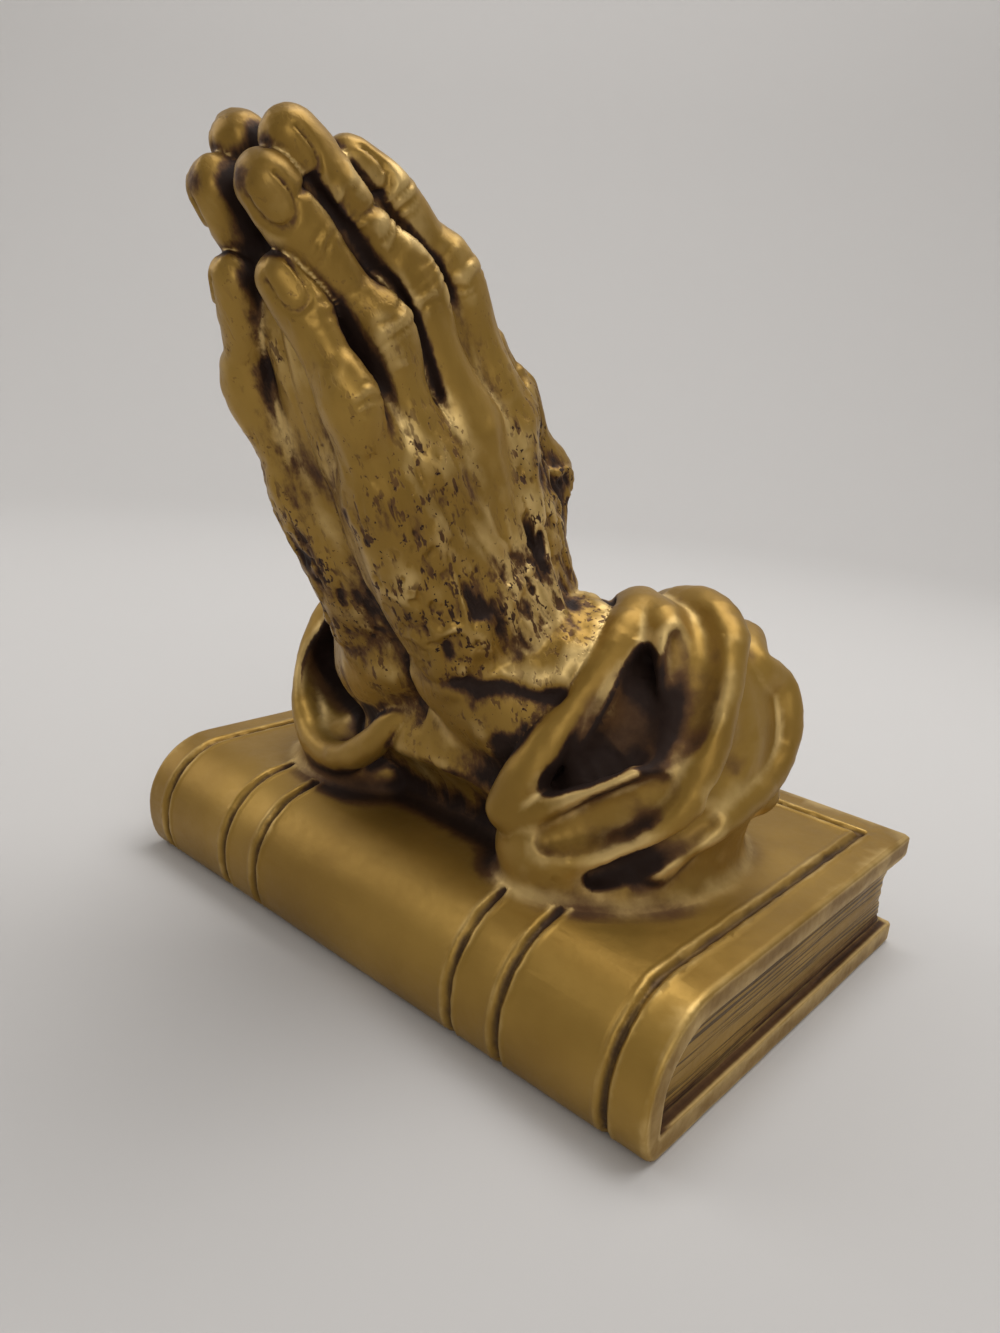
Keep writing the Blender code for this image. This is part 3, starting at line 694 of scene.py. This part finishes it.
class Reading:
    """A shader socket that takes part in sums, so that a mask reads as the expression it is."""

    tree = paint.node_tree

    def __init__(self, socket):
        self.socket = socket

    @classmethod
    def node(cls, kind, settings, sockets, output):
        """An output of a new node. Each socket goes by its name or number, with a value or a Reading."""
        made = cls.tree.nodes.new(kind)
        for key, value in settings.items():
            setattr(made, key, value)
        for key, value in sockets.items():
            if isinstance(value, Reading):
                cls.tree.links.new(value.socket, made.inputs[key])
            else:
                made.inputs[key].default_value = value
        return cls(made.outputs[output])

    def maths(self, operation, first, second):
        return self.node("ShaderNodeMath", {"operation": operation}, {0: first, 1: second}, 0)

    def __add__(self, other):
        return self.maths("ADD", self, other)

    def __sub__(self, other):
        return self.maths("SUBTRACT", self, other)

    def __rsub__(self, other):
        return self.maths("SUBTRACT", other, self)

    def __mul__(self, other):
        return self.maths("MULTIPLY", self, other)

    __rmul__ = __mul__

    def between(self, low, high):
        """0 below low, 1 above high, and a soft slope between them."""
        ends = {"Value": self, "From Min": low, "From Max": high}
        return self.node("ShaderNodeMapRange", {"interpolation_type": "SMOOTHSTEP"}, ends, "Result")


def told(name):
    return Reading.node("ShaderNodeAttribute", {"attribute_name": name}, {}, "Fac")


def moved(where, **change):
    return Reading.node("ShaderNodeMapping", {}, {"Vector": where, **change}, "Vector")


on_casting = Reading.node("ShaderNodeTexCoord", {}, {}, "Object")


def noise(scale, detail=3.0, roughness=0.5, where=on_casting):
    sockets = {"Vector": where, "Scale": scale, "Detail": detail, "Roughness": roughness}
    return Reading.node("ShaderNodeTexNoise", {}, sockets, "Fac")


def tint(share, one, other):
    """One colour turned into another by a share. 0, 6 and 7 are the node's sockets for colours."""
    one, other = ((*colour, 1) if isinstance(colour, tuple) else colour for colour in (one, other))
    return Reading.node("ShaderNodeMix", {"data_type": "RGBA"}, {0: share, 6: one, 7: other}, 2)


recess_wash_shade_told, worn_and_highlit_told = told("recess_wash_shade"), told("worn_and_highlit")
relief_told, flesh_told = told("relief"), told("flesh")
wash_and_shade_spots_told, scored_told = told("wash_and_shade_spots"), told("scored")
leaves_told, drift_told = told("leaves"), told("drift")
# Along the hands, marks are drawn out to 1 / 0.38 of their width.
along_hands = moved(moved(on_casting, Rotation=(-hand_lean, 0, 0)), Scale=(1, 1, 0.38))
patchy = noise(60.0, 5.0, 0.65)
streaks = noise(170.0, 4.0, 0.7, along_hands)
pocks = noise(560.0, 2.0, 0.6, along_hands).between(0.55, 0.62) * noise(120.0, 2.0).between(0.40, 0.55)
pocks = pocks + noise(300.0, 2.0, 0.6, along_hands).between(0.60, 0.66) * noise(70.0, 2.0).between(0.45, 0.6)
pocks = pocks * (drift_told + 0.03 * flesh_told)
blotch = noise(22.0, 3.0)
fine = noise(420.0, 3.0, 0.6)
leaf_lines = noise(1.0, 2.0, 0.5, moved(on_casting, Scale=(12.0, 12.0, 1100.0)))
leaf_gap = (0.55 - leaf_lines).between(0.0, 0.16) * leaves_told
specks = (0.36 - noise(520.0, 2.0, 0.7)).between(0.0, 0.05) * (drift_told + 0.1 * flesh_told)
broken = (patchy - 0.5) * 0.4 + (blotch - 0.5) * 0.25 + (fine - 0.5) * 0.3
# The brown wash of the casting together with painted shade in its recesses, hollows and under the arms.
wash_and_shade = recess_wash_shade_told * 0.95 + wash_and_shade_spots_told * 0.8 + broken * (flesh_told * 0.5 + 0.3)
wash_and_shade = wash_and_shade + (streaks - 0.5) * (flesh_told * 0.9 + drift_told * 0.7)
wash_and_shade = (wash_and_shade - relief_told * 0.22 + flesh_told * 0.05 + drift_told * 0.14).between(0.22, 0.95)
marks = specks + pocks * 0.85
wash_and_shade = Reading.node("ShaderNodeMath", {"operation": "MAXIMUM", "use_clamp": True}, {0: wash_and_shade, 1: marks}, 0)
lined = scored_told * (patchy + 0.25) + leaf_gap * 0.7
# Brighter gold where the casting stands out: rubbed wear and a painted highlight.
rubbed_and_highlit = (worn_and_highlit_told + (noise(90.0) - 0.5) * 0.5).between(0.08, 0.5)
dark_gold, light_gold, rubbed_highlight_gold = (0.27, 0.155, 0.028), (0.37, 0.222, 0.046), (0.78, 0.56, 0.23)
# The wash colours also paint the shade in the hollows; the thickest is near black.
thin_wash_and_shade, thick_wash_and_shade, line_wash = (0.115, 0.052, 0.016), (0.020, 0.008, 0.004), (0.040, 0.020, 0.010)
gold = tint(noise(25.0).between(0.3, 0.7), dark_gold, light_gold)
gold = tint(rubbed_and_highlit * 0.7, gold, rubbed_highlight_gold)
colour = tint(wash_and_shade.between(0.0, 0.6), gold, thin_wash_and_shade)
colour = tint(wash_and_shade.between(0.45, 1.0), colour, thick_wash_and_shade)
colour = tint(lined.between(0.1, 0.9) * 0.9, colour, line_wash)
metallic = 0.60 - wash_and_shade * 0.55
roughness = wash_and_shade * 0.32 + 0.44 + (fine - 0.5) * 0.2 - flesh_told * 0.04
height = fine * 0.3 + noise(160.0) * 0.4 + streaks * drift_told * 0.8 - pocks * 1.4 - leaf_gap * 1.2
bump = Reading.node("ShaderNodeBump", {}, {"Height": height, "Strength": 0.3, "Distance": 0.0006}, "Normal")
shader = paint.node_tree.nodes["Principled BSDF"]
shader.inputs["Specular IOR Level"].default_value = 0.3
finish = {"Base Color": colour, "Metallic": metallic, "Roughness": roughness, "Normal": bump}
for slot, reading in finish.items():
    paint.node_tree.links.new(reading.socket, shader.inputs[slot])
thinned.materials.clear()
thinned.materials.append(paint)
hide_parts("praying_hands_statue")
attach(casting, "root")
